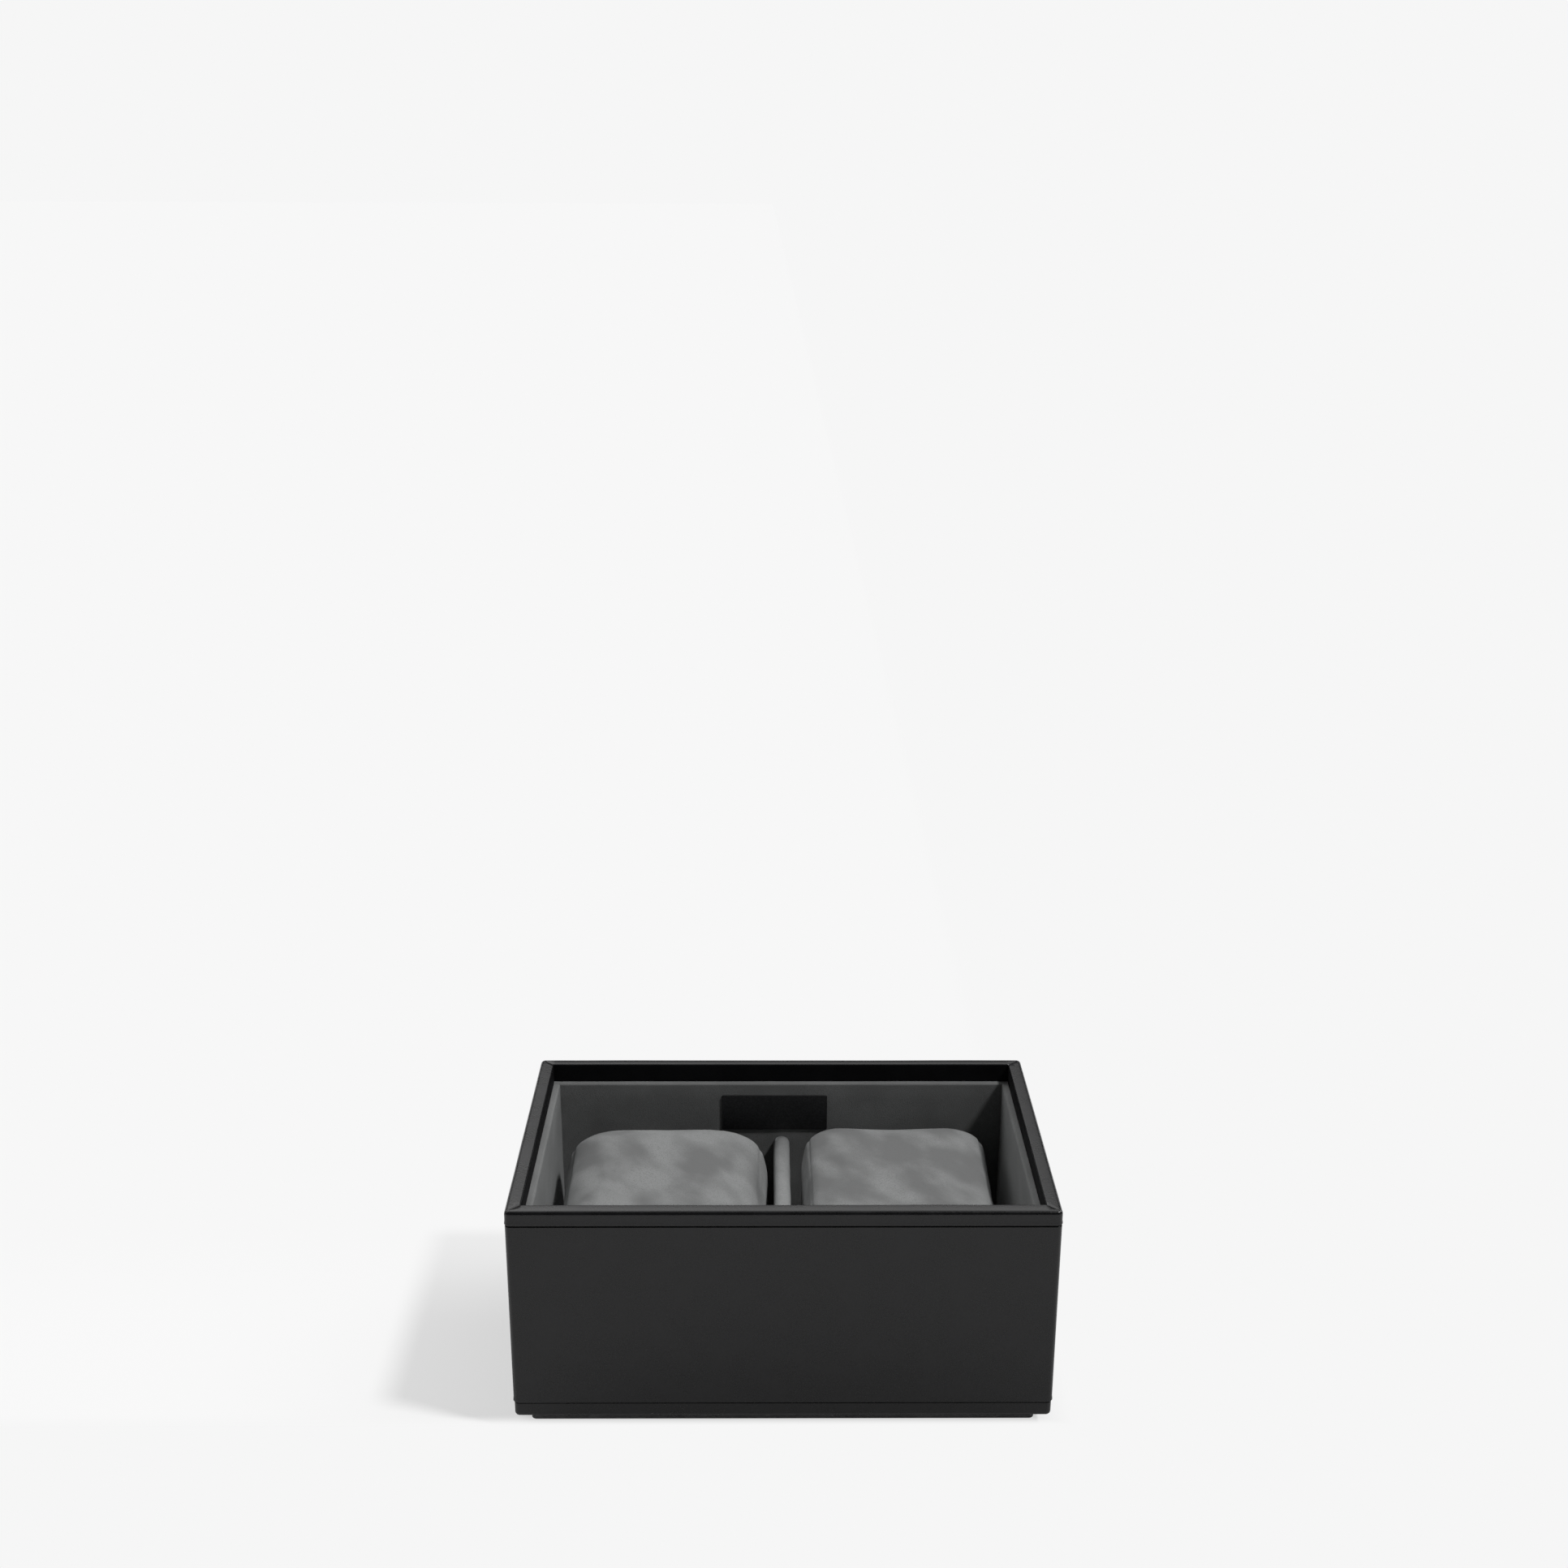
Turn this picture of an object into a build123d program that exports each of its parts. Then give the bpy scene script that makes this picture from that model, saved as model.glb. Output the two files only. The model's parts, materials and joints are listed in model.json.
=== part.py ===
from build123d import *
from math import cos, radians, sin
import os

# An open-topped watch box that stacks with others of its kind: a wrapped board tray with a
# velvet lining, a fixed divider and two pillows that lift out.
# Sizes are in millimetres. The origin is on the ground under the middle of the box, with
# +X to the right along the front, +Y to the back and +Z up.

# Overall size
box_width = 180.0
box_depth = 125.0
box_height = 82.0

# Walls: a board with leatherette on both faces
wall_thickness = 5.0
wrap_thickness = 0.5
corner_radius = 1.8
rim_rounding = 1.0

# Leatherette strip over the rim, and the side wrap under it
rim_band_height = 5.2
rim_turn_in = 14.0
groove_width = 0.4
groove_rounding = 0.2
seam_gap = 0.3

# Base board, drawn back a little from the sides
base_thickness = 5.4
base_inset = 0.2
base_rounding = 1.2

# Plinth under the base, which nests in the rim of a box below
plinth_height = 5.1
plinth_corner = 1.6
nest_clearance = 0.2
felt_thickness = 0.8
felt_margin = 4.0

# Lining panels: card with velvet over its face and top edge
recess_depth = 6.8
card_thickness = 1.6
velvet_thickness = 0.8
lining_rounding = 1.2

# Plain tab on the back lining
tab_width = 39.5
tab_height = 14.0
tab_thickness = 0.4
tab_drop = 4.7
tab_offset = -2.5
tab_corner = 0.6

# Divider between the two compartments, with its top just under the tab
divider_thickness = 5.9
divider_offset = 0.2
divider_tab_gap = 2.9

# Pillows: the left one is squashed a little wider, taller and rounder
pillow_wall_gaps = {"left": 4.2, "right": 7.3}
pillow_divider_gaps = {"left": 2.7, "right": 4.5}
pillow_end_gap = 8.0
pillow_rest_gap = 0.3
pillow_lower_edge = 5.0
pillow_side_pull = 0.9
pillow_heights = {"left": 52.6, "right": 51.3}
pillow_corners = {"left": 15.0, "right": 12.7}
pillow_shoulders = {"left": 17.4, "right": 12.6}
pillow_crown_powers = {"left": 4.0, "right": 6.2}

# Worked out from the sizes above
inner_width = box_width - 2 * wall_thickness
inner_depth = box_depth - 2 * wall_thickness
board_width = box_width - 2 * wrap_thickness
board_depth = box_depth - 2 * wrap_thickness
board_corner = corner_radius - wrap_thickness
sleeve_width = inner_width + 2 * wrap_thickness
sleeve_depth = inner_depth + 2 * wrap_thickness
base_top = plinth_height + base_thickness
board_top = box_height - wrap_thickness
rim_bottom = box_height - rim_band_height
wrap_bottom = base_top + groove_width / 2
wrap_top = rim_bottom - groove_width
lining_thickness = card_thickness + velvet_thickness
lining_top = box_height - recess_depth
lining_width = inner_width - 2 * lining_thickness
lining_depth = inner_depth - 2 * lining_thickness
floor_top = base_top + lining_thickness
tab_bottom = lining_top - tab_drop - tab_height
divider_height = tab_bottom - divider_tab_gap - floor_top
plinth_width = inner_width - 2 * nest_clearance
plinth_depth = inner_depth - 2 * nest_clearance

finished = {}


def keep(name, part):
    """Labels a finished piece and keeps it for export."""
    part.label = name
    finished[name] = part


# Wall boards, butted at the corners, with their top edges rounded under the rim strip
with BuildPart() as wall_ring:
    with BuildSketch(Plane.XY.offset(base_top)):
        RectangleRounded(board_width, board_depth, board_corner)
        Rectangle(sleeve_width, sleeve_depth, mode=Mode.SUBTRACT)
    extrude(amount=board_top - base_top)
    fillet(wall_ring.faces().sort_by(Axis.Z)[-1].edges(), radius=rim_rounding - wrap_thickness)

end_depth = (board_depth - sleeve_depth) / 2
for name, side in (("front_wall_board", -1), ("back_wall_board", 1)):
    with BuildPart() as end_board:
        add(wall_ring.part)
        with BuildSketch(Plane((0, side * (board_depth - end_depth) / 2, base_top))):
            Rectangle(board_width, end_depth)
        extrude(amount=board_top - base_top, mode=Mode.INTERSECT)
    keep(name, end_board.part)

side_thickness = (board_width - sleeve_width) / 2
for name, side in (("left_wall_board", -1), ("right_wall_board", 1)):
    with BuildPart() as side_board:
        add(wall_ring.part)
        with BuildSketch(Plane((side * (board_width - side_thickness) / 2, 0, base_top))):
            Rectangle(side_thickness, sleeve_depth)
        extrude(amount=board_top - base_top, mode=Mode.INTERSECT)
    keep(name, side_board.part)

# Strip that covers the rim, with a deep turn-in behind the lining
with BuildPart() as rim_binding:
    with BuildSketch(Plane.XY.offset(lining_top - rim_turn_in)):
        Rectangle(sleeve_width, sleeve_depth)
    extrude(amount=board_top - (lining_top - rim_turn_in))
    with BuildSketch(Plane.XY.offset(rim_bottom)):
        RectangleRounded(box_width, box_depth, corner_radius)
    extrude(amount=rim_band_height)
    with BuildSketch(Plane.XY.offset(lining_top - rim_turn_in)):
        Rectangle(inner_width, inner_depth)
    extrude(amount=box_height - (lining_top - rim_turn_in), mode=Mode.SUBTRACT)
    fillet(rim_binding.faces().sort_by(Axis.Z)[-1].edges(), radius=rim_rounding)
    add(wall_ring.part, mode=Mode.SUBTRACT)
keep("rim_binding", rim_binding.part)

# Side wrap: one strip round the box, closed by a butt seam in the middle of the back
with BuildPart() as side_wrap:
    with BuildSketch(Plane.XY.offset(wrap_bottom)):
        RectangleRounded(box_width, box_depth, corner_radius)
    extrude(amount=wrap_top - wrap_bottom)
    fillet(
        side_wrap.faces().filter_by(Axis.Z).edges(),
        radius=groove_rounding,
    )
    with BuildSketch(Plane.XY.offset(wrap_bottom)):
        RectangleRounded(board_width, board_depth, board_corner)
    extrude(amount=wrap_top - wrap_bottom, mode=Mode.SUBTRACT)
    with BuildSketch(Plane((0, board_depth / 2, wrap_bottom))):
        Rectangle(seam_gap, 2 * wall_thickness)
    extrude(amount=wrap_top - wrap_bottom, mode=Mode.SUBTRACT)
keep("side_wrap", side_wrap.part)

# Base board and the leatherette round its edge and underside
with BuildPart() as base_board:
    with BuildSketch(Plane.XY.offset(plinth_height + wrap_thickness)):
        RectangleRounded(board_width - 2 * base_inset, board_depth - 2 * base_inset, board_corner)
    extrude(amount=base_thickness - wrap_thickness)
    fillet(base_board.faces().sort_by(Axis.Z)[0].edges(), radius=base_rounding - wrap_thickness)
keep("base_board", base_board.part)

with BuildPart() as base_wrap:
    with BuildSketch(Plane.XY.offset(plinth_height)):
        RectangleRounded(box_width - 2 * base_inset, box_depth - 2 * base_inset, corner_radius)
    extrude(amount=base_thickness - groove_width / 2)
    fillet(base_wrap.faces().sort_by(Axis.Z)[0].edges(), radius=base_rounding)
    fillet(base_wrap.faces().sort_by(Axis.Z)[-1].edges(), radius=groove_rounding)
    add(base_board.part, mode=Mode.SUBTRACT)
keep("base_wrap", base_wrap.part)

# Plinth: a board covered in felt, with a thicker felt pad that meets the table
with BuildPart() as plinth_board:
    with BuildSketch(Plane.XY.offset(felt_thickness + wrap_thickness)):
        RectangleRounded(
            plinth_width - 2 * wrap_thickness,
            plinth_depth - 2 * wrap_thickness,
            plinth_corner - wrap_thickness,
        )
    extrude(amount=plinth_height - felt_thickness - wrap_thickness)
keep("plinth_board", plinth_board.part)

with BuildPart() as plinth_wrap:
    with BuildSketch(Plane.XY.offset(felt_thickness)):
        RectangleRounded(plinth_width, plinth_depth, plinth_corner)
    extrude(amount=plinth_height - felt_thickness)
    fillet(plinth_wrap.faces().sort_by(Axis.Z)[0].edges(), radius=wrap_thickness)
    add(plinth_board.part, mode=Mode.SUBTRACT)
keep("plinth_wrap", plinth_wrap.part)

with BuildPart() as base_felt:
    with BuildSketch():
        RectangleRounded(
            plinth_width - 2 * felt_margin,
            plinth_depth - 2 * felt_margin,
            plinth_corner,
        )
    extrude(amount=felt_thickness)
keep("base_felt", base_felt.part)

# Lining panels. Each stands against one wall: its plane's x runs along the wall and its
# y points out at the wall. The two end panels run the full width, the side panels fit between.
lining_sides = {
    "front": (Plane((0, 0, base_top), x_dir=(-1, 0, 0)), inner_depth / 2, inner_width),
    "back": (Plane((0, 0, base_top), x_dir=(1, 0, 0)), inner_depth / 2, inner_width),
    "left": (Plane((0, 0, base_top), x_dir=(0, 1, 0)), inner_width / 2, lining_depth),
    "right": (Plane((0, 0, base_top), x_dir=(0, -1, 0)), inner_width / 2, lining_depth),
}
for side, (side_plane, reach, length) in lining_sides.items():
    with BuildPart() as lining_card:
        with BuildSketch(side_plane):
            with Locations((0, reach - card_thickness / 2)):
                Rectangle(length, card_thickness)
        extrude(amount=lining_top - velvet_thickness - base_top)
    keep(f"{side}_lining_card", lining_card.part)

    with BuildPart() as lining_velvet:
        with BuildSketch(side_plane):
            with Locations((0, reach - lining_thickness / 2)):
                Rectangle(length, lining_thickness)
        extrude(amount=lining_top - base_top)
        top_edges = lining_velvet.edges().group_by(Axis.Z)[-1].sort_by(SortBy.LENGTH)[-2:]
        fillet(top_edges.sort_by_distance((0, 0, lining_top))[0], radius=lining_rounding)
        add(lining_card.part, mode=Mode.SUBTRACT)
    keep(f"{side}_lining_velvet", lining_velvet.part)

# Floor lining between the standing panels
with BuildPart() as floor_lining_card:
    with BuildSketch(Plane.XY.offset(base_top)):
        Rectangle(lining_width, lining_depth)
    extrude(amount=card_thickness)
keep("floor_lining_card", floor_lining_card.part)

with BuildPart() as floor_lining_velvet:
    with BuildSketch(Plane.XY.offset(base_top + card_thickness)):
        Rectangle(lining_width, lining_depth)
    extrude(amount=velvet_thickness)
keep("floor_lining_velvet", floor_lining_velvet.part)


# Divider: a thin board with velvet drawn over its rounded top, across the whole depth
def divider_form(skin):
    """The divider's solid, drawn back by a skin on its faces and top."""
    thickness = divider_thickness - 2 * skin
    with BuildPart() as form:
        with BuildSketch(Plane.XZ) as profile:
            with Locations((divider_offset, floor_top)):
                Rectangle(thickness, divider_height - skin, align=(Align.CENTER, Align.MIN))
            fillet(profile.vertices().group_by(Axis.Z)[-1], radius=0.48 * thickness)
        extrude(amount=lining_depth / 2, both=True)
    return form.part


divider_board = divider_form(velvet_thickness)
keep("divider_board", divider_board)

with BuildPart() as divider_velvet:
    add(divider_form(0))
    add(divider_board, mode=Mode.SUBTRACT)
keep("divider_velvet", divider_velvet.part)

# Plain tab on the face of the back lining
with BuildPart() as blank_tab:
    tab_middle = tab_bottom + tab_height / 2
    tab_plane = Plane((tab_offset, lining_depth / 2, tab_middle), x_dir=(1, 0, 0), z_dir=(0, -1, 0))
    with BuildSketch(tab_plane):
        RectangleRounded(tab_width, tab_height, tab_corner)
    extrude(amount=tab_thickness)
keep("blank_tab", blank_tab.part)


# Pillows: velvet cover over foam. Each is a loft up through level outlines whose sides are
# pulled in between the corners. The outlines widen from the flat underside round the lower
# edge, stand upright, and close in over a soft shoulder to the crown.
def pillow_levels(bottom, top, half_width, side):
    """Pairs of inset and height, from the underside to the middle of the crown."""
    levels = []
    for angle in (0, 18, 36, 54, 72, 90):
        inset = pillow_lower_edge * (1 - sin(radians(angle)))
        levels.append((inset, bottom + pillow_lower_edge * (1 - cos(radians(angle)))))
    shoulder = pillow_shoulders[side]
    power = 2 / pillow_crown_powers[side]
    for angle in (0, 3, 10, 20, 30, 40, 50, 60, 70, 80, 86):
        inset = half_width * (1 - cos(radians(angle)) ** power)
        levels.append((inset, top - shoulder + shoulder * sin(radians(angle)) ** power))
    return levels


def pillow_form(middle, width, skin, side):
    """A pillow's solid, drawn back all round by a skin."""
    half_width = width / 2 - skin
    half_depth = lining_depth / 2 - pillow_end_gap - skin
    bottom = floor_top + pillow_rest_gap + skin
    top = floor_top + pillow_rest_gap + pillow_heights[side] - skin
    with BuildPart() as form:
        for inset, height in pillow_levels(bottom, top, half_width, side):
            across = half_width - inset
            along = half_depth - inset
            corner = pillow_corners[side] * across / half_width
            pull = pillow_side_pull * across / half_width
            bend = corner * (1 - cos(radians(45)))
            with BuildSketch(Plane((middle, 0, height))):
                with BuildLine():
                    for x, y in ((1, 1), (-1, -1)):
                        ThreePointArc(
                            (x * across, y * (corner - along)),
                            (x * (across - pull), 0),
                            (x * across, y * (along - corner)),
                        )
                        ThreePointArc(
                            (x * across, y * (along - corner)),
                            (x * (across - bend), y * (along - bend)),
                            (x * (across - corner), y * along),
                        )
                        ThreePointArc(
                            (x * (across - corner), y * along),
                            (0, y * (along - pull)),
                            (x * (corner - across), y * along),
                        )
                        ThreePointArc(
                            (x * (corner - across), y * along),
                            (x * (bend - across), y * (along - bend)),
                            (-x * across, y * (along - corner)),
                        )
                make_face()
        loft(ruled=True)
    return form.part


for side, way in (("left", -1), ("right", 1)):
    outer = lining_width / 2 - pillow_wall_gaps[side]
    inner = way * divider_offset + divider_thickness / 2 + pillow_divider_gaps[side]
    middle = way * (outer + inner) / 2
    width = outer - inner
    foam = pillow_form(middle, width, velvet_thickness, side)
    keep(f"{side}_pillow_foam", foam)

    with BuildPart() as pillow_cover:
        add(pillow_form(middle, width, 0, side))
        add(foam, mode=Mode.SUBTRACT)
    keep(f"{side}_pillow_cover", pillow_cover.part)

os.makedirs("parts", exist_ok=True)
for name, part in finished.items():
    export_step(part, f"parts/{name}.step")
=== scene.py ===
"""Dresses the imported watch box: black leatherette outside, grey velvet and two pillows inside."""

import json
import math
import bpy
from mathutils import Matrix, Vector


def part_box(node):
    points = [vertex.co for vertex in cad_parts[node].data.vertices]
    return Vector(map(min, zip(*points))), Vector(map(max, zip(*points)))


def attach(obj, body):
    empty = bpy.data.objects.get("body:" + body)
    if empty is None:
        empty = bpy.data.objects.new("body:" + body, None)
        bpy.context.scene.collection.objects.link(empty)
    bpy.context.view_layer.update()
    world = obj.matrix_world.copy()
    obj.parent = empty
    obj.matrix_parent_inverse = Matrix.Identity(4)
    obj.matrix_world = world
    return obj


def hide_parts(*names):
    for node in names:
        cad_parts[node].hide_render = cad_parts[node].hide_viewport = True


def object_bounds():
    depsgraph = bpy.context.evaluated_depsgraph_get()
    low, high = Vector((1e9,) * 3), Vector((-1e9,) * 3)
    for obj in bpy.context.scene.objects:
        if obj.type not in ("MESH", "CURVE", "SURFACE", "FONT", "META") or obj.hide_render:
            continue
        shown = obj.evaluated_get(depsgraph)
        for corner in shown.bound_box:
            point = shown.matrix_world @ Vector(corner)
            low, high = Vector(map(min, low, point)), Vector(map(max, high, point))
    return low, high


bl_info = {
    "name": "Stacking Watch Box",
    "version": (1, 0, 0),
    "blender": (4, 5, 0),
    "location": "View3D > Sidebar > Watch Box",
    "description": "Wraps, lines and lights a stacking watch box built round its packed frame",
    "category": "Object",
}

import bmesh
import bpy
from bpy.props import FloatProperty, FloatVectorProperty, PointerProperty
from bpy.types import Operator, Panel, PropertyGroup
from mathutils import Matrix, Vector, noise

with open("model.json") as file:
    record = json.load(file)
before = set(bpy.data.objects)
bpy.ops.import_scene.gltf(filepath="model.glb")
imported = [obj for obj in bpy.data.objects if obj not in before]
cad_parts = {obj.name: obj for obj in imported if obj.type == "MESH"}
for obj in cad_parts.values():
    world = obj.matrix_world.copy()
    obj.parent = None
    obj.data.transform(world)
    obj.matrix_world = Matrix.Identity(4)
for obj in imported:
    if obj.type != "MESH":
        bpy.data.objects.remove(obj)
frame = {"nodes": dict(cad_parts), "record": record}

MM = 0.001

# Places and thicknesses that the frame gives, in metres
CAD_LOW, CAD_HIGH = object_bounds()
BOX_HALF = Vector((CAD_HIGH.x, CAD_HIGH.y))
WRAP_LOW, WRAP_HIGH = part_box("side_wrap")
BASE_LOW, BASE_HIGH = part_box("base_wrap")
PLINTH_LOW, PLINTH_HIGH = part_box("plinth_wrap")
BINDING_LOW, BINDING_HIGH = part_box("rim_binding")
OPENING_HALF = Vector((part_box("right_lining_velvet")[1].x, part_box("back_lining_velvet")[1].y))
WALL_THICKNESS = BOX_HALF.x - OPENING_HALF.x
WRAP_THICKNESS = BOX_HALF.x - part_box("back_wall_board")[1].x
VELVET_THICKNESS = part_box("floor_lining_velvet")[1].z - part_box("floor_lining_card")[1].z

# Sizes that several pieces share, in metres
CORNER_RADIUS = 1.8 * MM
PLINTH_CORNER = 1.6 * MM
GROOVE_WIDTH = 0.4 * MM
GROOVE_DEPTH = 0.8 * WRAP_THICKNESS
RIM_LOWER_EDGE = WRAP_HIGH.z + GROOVE_WIDTH
RIM_SLOPE_HEIGHT = 3 * MM
TURN_IN = 9 * MM
CLOTH_THICKNESS = 0.9 * VELVET_THICKNESS

# Distances within which points count as one point, as on a cut, or as at the same place
ONE_POINT = 0.002 * MM
ON_CUT = 0.001 * MM
SAME_PLACE = 0.01 * MM

# The least part of a normal along a direction, for the face to look that way
FACING = 0.9

# The seeds of each lining's and each pillow's unevenness
LINING_SEEDS = {"front": 7.3, "back": 8.3, "left": 9.3, "right": 10.3}
PILLOW_SEEDS = {"left": 44.2, "right": 45.2}


class WatchBoxShape(PropertyGroup):
    """Sizes of the soft and rounded details."""

    rim_rounding: FloatProperty(
        name="Rim rounding",
        description="Radius of the rim's outer top edge",
        default=1.35 * MM,
        unit="LENGTH",
    )
    rim_slope: FloatProperty(
        name="Rim slope",
        description="How much lower the rim's outer edge is than its inner one, at the front",
        default=0.26 * MM,
        unit="LENGTH",
    )
    rim_inner_rounding: FloatProperty(
        name="Rim inner rounding",
        description="Radius of the rim's edge towards the recess",
        default=0.5 * MM,
        unit="LENGTH",
    )
    lip: FloatProperty(
        name="Edge lip",
        description="How far the lower edges of the rim strip and the side wrap stand proud",
        default=0.16 * MM,
        unit="LENGTH",
    )
    board_unevenness: FloatProperty(
        name="Board unevenness",
        description="How far the wrapped faces wander from flat",
        default=0.06 * MM,
        unit="LENGTH",
    )
    fold_depth: FloatProperty(
        name="Fold depth",
        description="Depth of the mitred folds on the rim's corners, and a measure of the back seam's",
        default=0.16 * MM,
        unit="LENGTH",
    )
    velvet_unevenness: FloatProperty(
        name="Velvet unevenness",
        description="How far the lining's faces wander from flat",
        default=0.18 * MM,
        unit="LENGTH",
    )
    pillow_slack: FloatProperty(
        name="Pillow slack",
        description="How far a pillow's cover stands off its foam before it is filled",
        default=0.4 * MM,
        unit="LENGTH",
    )
    pillow_swell: FloatProperty(
        name="Pillow swell",
        description="The furthest that a point of a pillow may move as it is filled",
        default=1.0 * MM,
        unit="LENGTH",
    )
    pillow_voxel: FloatProperty(
        name="Pillow mesh size",
        description="Mesh size at which a pillow is filled",
        default=2.4 * MM,
        unit="LENGTH",
    )
    filling_gap: FloatProperty(
        name="Filling gap",
        description="How far the foam lies inside the pillow's outside",
        default=2.0 * MM,
        unit="LENGTH",
    )
    seam_depth: FloatProperty(
        name="Seam depth",
        description="How deep the pillows' seams are pulled in",
        default=0.3 * MM,
        unit="LENGTH",
    )


class WatchBoxFinish(PropertyGroup):
    """Colours and scales of the coverings."""

    leatherette_colour: FloatVectorProperty(
        name="Leatherette",
        description="Colour of the black leatherette",
        subtype="COLOR",
        default=(0.0038, 0.0038, 0.0043),
    )
    velvet_colour: FloatVectorProperty(
        name="Velvet",
        description="Colour of the velvet where its pile stands",
        subtype="COLOR",
        default=(0.15, 0.152, 0.152),
    )
    velvet_brushed: FloatVectorProperty(
        name="Brushed velvet",
        description="Colour of the velvet where its pile is brushed over",
        subtype="COLOR",
        default=(0.24, 0.245, 0.244),
    )
    tab_colour: FloatVectorProperty(
        name="Tab",
        description="Colour of the plain tab",
        subtype="COLOR",
        default=(0.015, 0.015, 0.016),
    )
    # The felt's grey is partly its own colour and partly painted light. On the plinth it stands for the
    # light that the floor throws up under the overhang.
    felt_and_floor_light_colour: FloatVectorProperty(
        name="Felt",
        description="Colour of the felt round and under the plinth",
        subtype="COLOR",
        default=(0.1, 0.1, 0.102),
    )
    grain_size: FloatProperty(
        name="Grain size",
        description="Size of a pebble in the leatherette's grain",
        default=0.85 * MM,
        unit="LENGTH",
    )
    nap_size: FloatProperty(
        name="Nap patch size",
        description="Size of the patches in which the velvet's pile lies one way",
        default=14.0 * MM,
        unit="LENGTH",
    )


class WatchBoxStage(PropertyGroup):
    """Floor and lights."""

    floor_colour: FloatVectorProperty(
        name="Floor",
        description="Colour of the floor and the backdrop",
        subtype="COLOR",
        default=(0.922, 0.922, 0.922),
    )
    floor_flatness: FloatProperty(
        name="Floor flatness",
        description="Least share of the floor's plain colour that the camera sees, in the shadow",
        default=0.54,
        subtype="FACTOR",
    )
    key_strength: FloatProperty(
        name="Key light",
        description="Strength of the lamp at the right",
        default=1.95,
    )
    key_spread: FloatProperty(
        name="Key spread",
        description="How wide the lamp looks from the box",
        default=math.radians(7.0),
        subtype="ANGLE",
    )
    fill_strength: FloatProperty(
        name="Fill light",
        description="Strength of the soft light from all round",
        default=1.0,
    )


def shape(context):
    """The sizes that the panel shows."""
    return context.scene.watch_box_shape


def finish(context):
    """The colours that the panel shows."""
    return context.scene.watch_box_finish


# Shader maths


class Value:
    """A shader socket that can stand in a Python expression."""

    def __init__(self, shader, socket):
        self.shader = shader
        self.socket = socket

    def maths(self, operation, *others):
        """The result of a Math node on this value and others."""
        sockets = dict(enumerate((self, *others)))
        return self.shader.value("ShaderNodeMath", {"operation": operation}, sockets)

    def __add__(self, other):
        return self.maths("ADD", other)

    def __sub__(self, other):
        return self.maths("SUBTRACT", other)

    def __rsub__(self, other):
        return self.maths("MULTIPLY", -1.0).maths("ADD", other)

    def __mul__(self, other):
        return self.maths("MULTIPLY", other)

    __radd__ = __add__
    __rmul__ = __mul__

    def larger(self, other):
        """The larger of two values."""
        return self.maths("MAXIMUM", other)

    def smooth(self, low, high):
        """0 at low, 1 at high and a soft step between them."""
        settings = {"interpolation_type": "SMOOTHSTEP"}
        sockets = {"Value": self, "From Min": low, "From Max": high}
        return self.shader.value("ShaderNodeMapRange", settings, sockets)


class Shader:
    """Builds one node tree."""

    def __init__(self, tree):
        self.tree = tree
        tree.nodes.clear()

    def node(self, kind, settings=None, sockets=None):
        """A node with its settings made first, and then its sockets set or linked."""
        made = self.tree.nodes.new(kind)
        for name, setting in (settings or {}).items():
            setattr(made, name, setting)
        for name, given in (sockets or {}).items():
            given = getattr(given, "socket", given)
            if isinstance(given, bpy.types.NodeSocket):
                self.tree.links.new(given, made.inputs[name])
            else:
                made.inputs[name].default_value = given
        return made

    def value(self, kind, settings=None, sockets=None, output=0):
        """One output of a new node, for use in expressions."""
        return Value(self, self.node(kind, settings, sockets).outputs[output])

    def mix(self, factor, first, second):
        """A colour between two colours."""
        sockets = {"Factor": factor, 6: first, 7: second}
        return self.value("ShaderNodeMix", {"data_type": "RGBA"}, sockets, output=2)

    def place(self):
        """The object's own coordinates, in metres."""
        return self.value("ShaderNodeTexCoord", output="Object")

    def parts(self, vector):
        """The three parts of a vector."""
        split = self.node("ShaderNodeSeparateXYZ", None, {0: vector})
        return [Value(self, output) for output in split.outputs]

    def noise(self, size, detail=2.0, roughness=0.5, distortion=0.0, place=None):
        """Soft noise whose features are about the given size."""
        sockets = {
            "Vector": place or self.place(),
            "Scale": 1 / size,
            "Detail": detail,
            "Roughness": roughness,
            "Distortion": distortion,
        }
        return self.value("ShaderNodeTexNoise", None, sockets)

    def bump(self, height, distance, strength=1.0, under=None):
        """A normal from a height, over another bump where one is given."""
        sockets = {"Height": height, "Distance": distance, "Strength": strength}
        if under is not None:
            sockets["Normal"] = under
        return self.value("ShaderNodeBump", None, sockets)

    def surface(self, sockets):
        """A principled surface on the material's output."""
        principled = self.value("ShaderNodeBsdfPrincipled", None, sockets)
        self.node("ShaderNodeOutputMaterial", None, {"Surface": principled})

    def seen_mix(self, share, plain, lit, output):
        """Shows the camera a share of the plain shader, and gives all other rays the lit one."""
        seen = self.value("ShaderNodeLightPath", output="Is Camera Ray")
        mixed = self.value("ShaderNodeMixShader", None, {0: seen * share, 1: lit, 2: plain})
        self.node(output, None, {"Surface": mixed})


def opaque(colour, brightness=1.0):
    """A colour with full alpha, made brighter or darker where asked."""
    return (*(brightness * part for part in colour), 1.0)


def new_material(name):
    """An empty material, or the one of that name from an earlier run, and its shader."""
    material = bpy.data.materials.get(name) or bpy.data.materials.new(name)
    material.use_nodes = True
    return material, Shader(material.node_tree)


# The materials


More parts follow.
